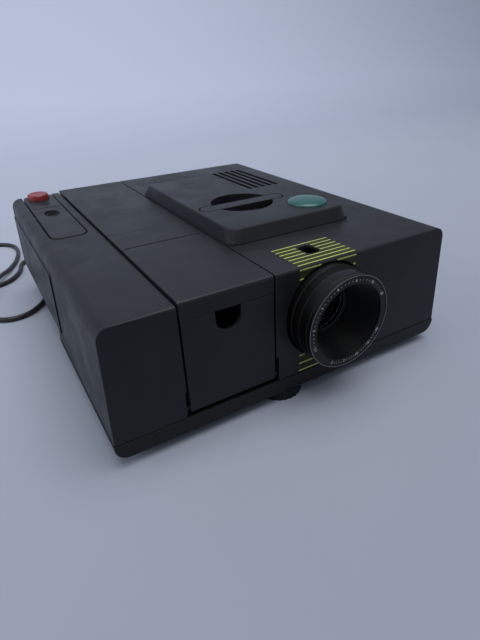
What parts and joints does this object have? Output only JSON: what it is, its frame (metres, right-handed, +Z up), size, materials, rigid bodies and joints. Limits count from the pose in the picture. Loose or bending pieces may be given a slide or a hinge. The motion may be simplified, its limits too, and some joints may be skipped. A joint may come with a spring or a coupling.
{
  "type": "straight-tray slide projector",
  "caption": "Low slide projector with a tray channel, vented lamp cover, round lens, docked remote control and two cords.",
  "frame": {"origin": "on the table, under the middle of the projector measured without its cords", "axes": "+Z up, the lens looks along -Y, the tray channel runs along Y, +X to the right seen from the front"},
  "size_m": [0.3589, 0.5027, 0.1168],
  "materials": {
    "casing": "fine-grained satin anthracite",
    "base_black": "satin black",
    "lens_black": "black, half gloss",
    "green": "glossy blue-green",
    "red": "satin red",
    "foot_rubber": "matte",
    "cord_rubber": "smooth black sheath",
    "optical_glass": "polished",
    "heat_glass": "polished, slightly green",
    "sheet": "zinc-plated sheet",
    "steel": "turned",
    "mirror": "polished",
    "ceramic": "unglazed white",
    "nylon": "natural",
    "copper": "enamelled wire",
    "laminated": "stacked sheets",
    "board": "lacquered"
  },
  "bodies": {
    "projector": {"base_tray": "base_black", "left_cover": "casing", "right_housing": "casing", "rear_panel": "base_black", "remote_socket": "base_black", "channel_liner": "base_black", "bridge_plate": "casing", "handset_shell": "casing", "handset_cover": "casing", "handset_relief": "cord_rubber", "guide_rod_left": "steel", "guide_rod_right": "steel", "focus_motor": "steel", "gate_front": "sheet", "gate_rear": "sheet", "mover_bracket": "sheet", "tray_motor": "steel", "lamp_house": "sheet", "condenser_cradle": "base_black", "condenser_front": "optical_glass", "heat_filter": "heat_glass", "condenser_rear": "optical_glass", "lamp_socket": "ceramic", "lamp_bulb": "optical_glass", "mirror": "mirror", "fan_frame": "base_black", "fan_motor": "steel", "transformer_core": "laminated", "transformer_coil": "copper", "circuit_board": "board", "rear_foot_left": "foot_rubber", "rear_foot_right": "foot_rubber", "remote_cord": "cord_rubber", "remote_coil": "cord_rubber", "remote_tail": "cord_rubber", "remote_plug": "base_black", "mains_relief": "cord_rubber", "mains_cord": "cord_rubber", "mains_coil": "cord_rubber", "mains_plug": "base_black"},
    "front_lid": {"front_lid": "casing"},
    "rear_lid": {"rear_lid": "casing"},
    "front_door": {"front_door": "casing"},
    "side_door": {"side_door": "casing"},
    "lamp_cover": {"lamp_cover": "casing", "grip_bar": "casing"},
    "green_button": {"green_button": "green"},
    "red_button": {"red_button": "red"},
    "focus_rocker": {"focus_rocker": "base_black"},
    "lens_carriage": {"lens_carriage": "base_black"},
    "lens": {"lens_barrel": "lens_black", "lens_front_ring": "lens_black", "front_glass": "optical_glass", "rear_glass": "optical_glass"},
    "focus_pinion": {"focus_pinion": "nylon"},
    "slide_mover": {"slide_mover": "nylon"},
    "mover_pinion": {"mover_pinion": "nylon"},
    "tray_gear": {"tray_gear": "nylon"},
    "fan_wheel": {"fan_wheel": "base_black"},
    "front_foot": {"front_foot": "base_black"}
  },
  "joints": [
    {"name": "front_lid_hinge", "type": "hinge", "parent": "projector", "child": "front_lid", "pos_m": [-0.0565, -0.0433, 0.1005], "axis": [-1, 0, 0], "range_deg": [0, 85]},
    {"name": "rear_lid_hinge", "type": "hinge", "parent": "projector", "child": "rear_lid", "pos_m": [-0.0565, -0.0075, 0.1005], "axis": [1, 0, 0], "range_deg": [0, 85]},
    {"name": "front_door_hinge", "type": "hinge", "parent": "projector", "child": "front_door", "pos_m": [-0.0565, -0.14172, 0.0243], "axis": [1, 0, 0], "range_deg": [0, 90]},
    {"name": "side_door_hinge", "type": "hinge", "parent": "projector", "child": "side_door", "pos_m": [-0.13677, 0.0734, 0.087], "axis": [0, 1, 0], "range_deg": [0, 90]},
    {"name": "lamp_cover_lift", "type": "slide", "parent": "projector", "child": "lamp_cover", "axis": [0, 0, 1], "range_m": [0, 0.03]},
    {"name": "green_button_press", "type": "slide", "parent": "lamp_cover", "child": "green_button", "axis": [0, 0, -1], "range_m": [0, 0.0025], "stiffness_N_per_m": 300, "springref_m": -0.001},
    {"name": "red_button_press", "type": "slide", "parent": "projector", "child": "red_button", "axis": [0, 0, -1], "range_m": [0, 0.0022], "stiffness_N_per_m": 250, "springref_m": -0.001},
    {"name": "focus_rocker_tilt", "type": "hinge", "parent": "projector", "child": "focus_rocker", "pos_m": [-0.1126, 0.0909, 0.0963], "axis": [1, 0, 0], "range_deg": [-5, 5], "stiffness_Nm_per_rad": 0.02},
    {"name": "lens_carriage_slide", "type": "slide", "parent": "projector", "child": "lens_carriage", "axis": [0, -1, 0], "range_m": [-0.004, 0.006]},
    {"name": "lens_turn", "type": "hinge", "parent": "lens_carriage", "child": "lens", "pos_m": [0.0225, -0.1664, 0.0645], "axis": [0, 1, 0], "range_deg": [-150, 150]},
    {"name": "focus_pinion_spin", "type": "hinge", "parent": "projector", "child": "focus_pinion", "pos_m": [0.061, -0.1016, 0.0645], "axis": [0, 0, 1], "range_deg": [-50, 72]},
    {"name": "slide_mover_slide", "type": "slide", "parent": "projector", "child": "slide_mover", "axis": [-1, 0, 0], "range_m": [0, 0.0795]},
    {"name": "mover_pinion_spin", "type": "hinge", "parent": "projector", "child": "mover_pinion", "pos_m": [0.059, -0.0271, 0.08475], "axis": [0, 1, 0], "range_deg": [-705, 5]},
    {"name": "tray_gear_spin", "type": "hinge", "parent": "projector", "child": "tray_gear", "pos_m": [-0.0699, 0.0044, 0.0226], "axis": [1, 0, 0], "continuous": true},
    {"name": "fan_spin", "type": "hinge", "parent": "projector", "child": "fan_wheel", "pos_m": [0.0905, 0.0444, 0.0196], "axis": [0, 0, 1], "continuous": true},
    {"name": "front_foot_screw", "type": "slide", "parent": "projector", "child": "front_foot", "axis": [0, 0, -1], "range_m": [0, 0.012]}
  ],
  "couplings": [
    {"joint": "focus_pinion_spin", "follows": "lens_carriage_slide", "rad_per_m": 200},
    {"joint": "mover_pinion_spin", "follows": "slide_mover_slide", "rad_per_m": -153.85}
  ]
}
